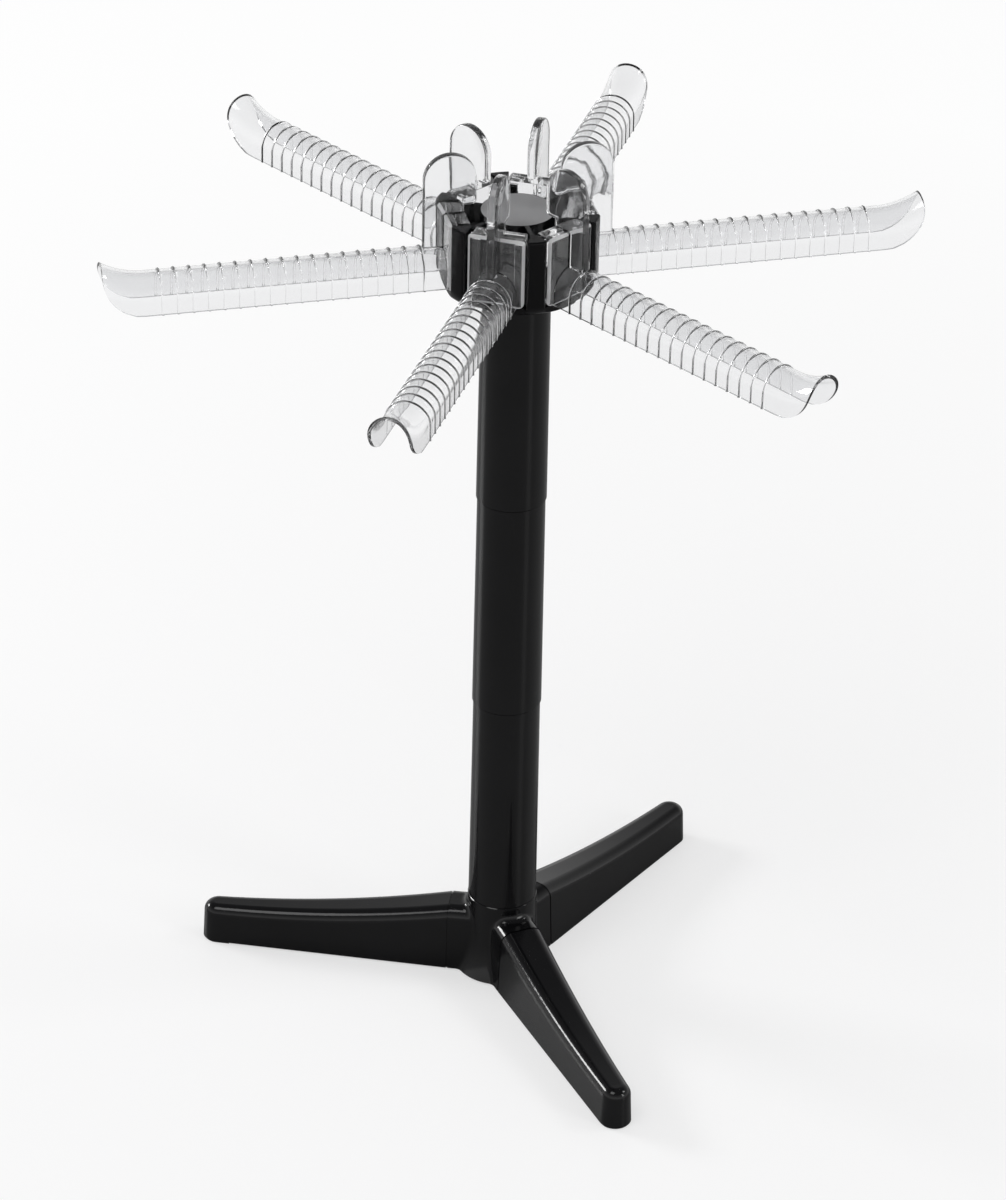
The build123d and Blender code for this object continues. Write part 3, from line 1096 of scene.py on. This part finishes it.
def make_floor(settings):
    """A flat square floor: a pale, slightly glossy sheet, and a white glow that grows with distance.

    The glow is for the camera and for rays that have passed through the clear arms. A mirrored ray, which
    is a glossy one that hasn't passed through them, meets a darker sheet, and the glow only far away.
    """
    half = settings.floor_size / 2
    mesh = bpy.data.meshes.new("floor")
    corners = [(-half, -half, 0), (half, -half, 0), (half, half, 0), (-half, half, 0)]
    mesh.from_pydata(corners, [], [(0, 1, 2, 3)])
    floor = bpy.data.objects.new("floor", mesh)
    bpy.context.collection.objects.link(floor)
    material, tree, output = new_material("floor_sheet")
    link = tree.links.new
    place = node(tree, "ShaderNodeTexCoord", (-900, 0))
    cloud = node(tree, "ShaderNodeTexNoise", (-700, 0), Scale=2.0, Detail=1.0)
    link(place.outputs["Object"], cloud.inputs["Vector"])
    pale = settings.floor_colour
    tone = two_tones(tree, cloud.outputs["Fac"], (-400, 100), shaded(pale, 0.99), pale)
    sheet = node(tree, "ShaderNodeBsdfPrincipled", (0, 100), Roughness=0.3)
    sheet.inputs["Specular IOR Level"].default_value = 0.25
    path = node(tree, "ShaderNodeLightPath", (-400, -300))
    through = path.outputs["Is Transmission Ray"]
    outside = maths(tree, "SUBTRACT", 1.0, through, (-400, 400))
    mirrored = maths(tree, "MULTIPLY", path.outputs["Is Glossy Ray"], outside, (-250, 400))
    dimmed = mixed_colour(tree, mirrored, tone, settings.mirrored_colour, (-180, 250))
    link(dimmed, sheet.inputs["Base Color"])
    seen = maths(tree, "MAXIMUM", path.outputs["Is Camera Ray"], through, (-150, -200))
    away = vector_length(tree, place.outputs["Object"], (-400, -500))
    whiter = mapped(tree, away, (-150, -500), From_Min=0.25, From_Max=1.1, To_Min=0.55, To_Max=0.92)
    distant = mapped(tree, away, (-150, -750), From_Min=0.9, From_Max=1.6, To_Min=0.0, To_Max=0.92)
    mirror_share = maths(tree, "MULTIPLY", mirrored, distant, (80, -500))
    share = maths(tree, "MULTIPLY_ADD", seen, whiter, (250, -200), mirror_share)
    glow = node(tree, "ShaderNodeEmission", (250, -50), Color=(1, 1, 1, 1), Strength=1.0)
    mix = node(tree, "ShaderNodeMixShader", (480, 0))
    link(share, mix.inputs["Fac"])
    link(sheet.outputs["BSDF"], mix.inputs[1])
    link(glow.outputs["Emission"], mix.inputs[2])
    link(mix.outputs["Shader"], output.inputs["Surface"])
    mesh.materials.append(material)


def make_world(scene):
    """A pale studio, white low down and darker overhead, over an even and weaker fill light."""
    world = bpy.data.worlds.new("studio")
    world.use_nodes = True
    tree = world.node_tree
    tree.nodes.clear()
    link = tree.links.new
    output = node(tree, "ShaderNodeOutputWorld", (600, 0))
    place = node(tree, "ShaderNodeTexCoord", (-900, 0))
    parts = node(tree, "ShaderNodeSeparateXYZ", (-700, 0))
    link(place.outputs["Generated"], parts.inputs["Vector"])
    white, overhead = (1.0, 1.0, 1.0), (0.16, 0.16, 0.165)
    sky = two_tones(tree, parts.outputs["Z"], (-450, 100), white, overhead, low_place=0.1, high_place=0.75)
    shine = node(tree, "ShaderNodeBackground", (0, 100), Strength=1.0)
    link(sky, shine.inputs["Color"])
    fill = node(tree, "ShaderNodeBackground", (0, -100), Color=(*white, 1.0), Strength=0.5)
    path = node(tree, "ShaderNodeLightPath", (-450, -300))
    camera_ray, glossy_ray = path.outputs["Is Camera Ray"], path.outputs["Is Glossy Ray"]
    seen = maths(tree, "MAXIMUM", camera_ray, glossy_ray, (-200, -200))
    seen = maths(tree, "MAXIMUM", seen, path.outputs["Is Transmission Ray"], (0, -250))
    mix = node(tree, "ShaderNodeMixShader", (350, 0))
    link(seen, mix.inputs["Fac"])
    link(fill.outputs["Background"], mix.inputs[1])
    link(shine.outputs["Background"], mix.inputs[2])
    link(mix.outputs["Shader"], output.inputs["Surface"])
    scene.world = world


def make_lamps(scene, settings):
    """Four soft boxes, each aimed at the pole: a name, a place, two sides and a power in watts."""
    lamps = (
        ("key_box", (-0.72, -1.09, 2.35), (1.1, 1.1), 13.0),
        ("rim_box", (1.86, 0.35, 1.9), (0.6, 0.6), 8.0),
        ("right_box", (1.8, -0.9, 1.0), (0.5, 0.9), 7.0),
        ("side_strip", (-2.06, 0.7, 1.02), (0.8, 0.45), 24.0),
    )
    target = np.array((0.0, 0.0, settings.lamp_aim))
    for name, place, size, power in lamps:
        light = bpy.data.lights.new(name, "AREA")
        light.shape = "RECTANGLE"
        light.size, light.size_y = size
        light.energy = power
        lamp = bpy.data.objects.new(name, light)
        lamp.matrix_world = aimed(place, np.array(place) - target)
        scene.collection.objects.link(lamp)


def aimed(place, away):
    """The matrix of a lamp or camera at a place, looking against the direction away."""
    turn = mathutils.Vector(away).to_track_quat("Z", "Y")
    return mathutils.Matrix.Translation(place) @ turn.to_matrix().to_4x4()


def make_camera(scene, settings):
    """A camera at the photograph's viewing angle, aimed at a target on the pole."""
    data = bpy.data.cameras.new("camera")
    data.sensor_fit = "VERTICAL"
    data.sensor_height = 36.0
    data.lens = settings.camera_lens
    frame_height = 1200
    data.shift_x, data.shift_y = (pixels / frame_height for pixels in settings.camera_shift)
    data.clip_end = 100.0
    camera = bpy.data.objects.new("camera", data)
    flat = settings.camera_distance * math.cos(settings.camera_elevation)
    away = (
        flat * math.sin(settings.camera_azimuth),
        -flat * math.cos(settings.camera_azimuth),
        settings.camera_distance * math.sin(settings.camera_elevation),
    )
    place = (away[0], away[1], away[2] + settings.camera_target)
    roll = mathutils.Matrix.Rotation(settings.camera_roll, 4, "Z")
    camera.matrix_world = aimed(place, away) @ roll
    scene.collection.objects.link(camera)
    scene.camera = camera


class RACK_PT_sidebar(bpy.types.Panel):
    """Lists the rack's operators in the sidebar"""

    bl_idname = "RACK_PT_sidebar"
    bl_label = "Drying rack"
    bl_space_type = "VIEW_3D"
    bl_region_type = "UI"
    bl_category = "Drying rack"

    def draw(self, context):
        for operator in OPERATORS:
            self.layout.operator(operator.bl_idname)


OPERATORS = (RACK_OT_stand, RACK_OT_hub, RACK_OT_arms, RACK_OT_stage)
SETTINGS = {
    "rack_arms": RackArmSettings,
    "rack_stand": RackStandSettings,
    "rack_stage": RackStageSettings,
}


def register():
    for kind in (*SETTINGS.values(), *OPERATORS, RACK_PT_sidebar):
        bpy.utils.register_class(kind)
    for name, kind in SETTINGS.items():
        setattr(bpy.types.Scene, name, bpy.props.PointerProperty(type=kind))


def unregister():
    for name in SETTINGS:
        delattr(bpy.types.Scene, name)
    for kind in reversed((*SETTINGS.values(), *OPERATORS, RACK_PT_sidebar)):
        bpy.utils.unregister_class(kind)


def main():
    register()
    bpy.ops.rack.stand()
    bpy.ops.rack.hub()
    bpy.ops.rack.arms()
    bpy.ops.rack.stage()


if __name__ == "__main__":
    main()
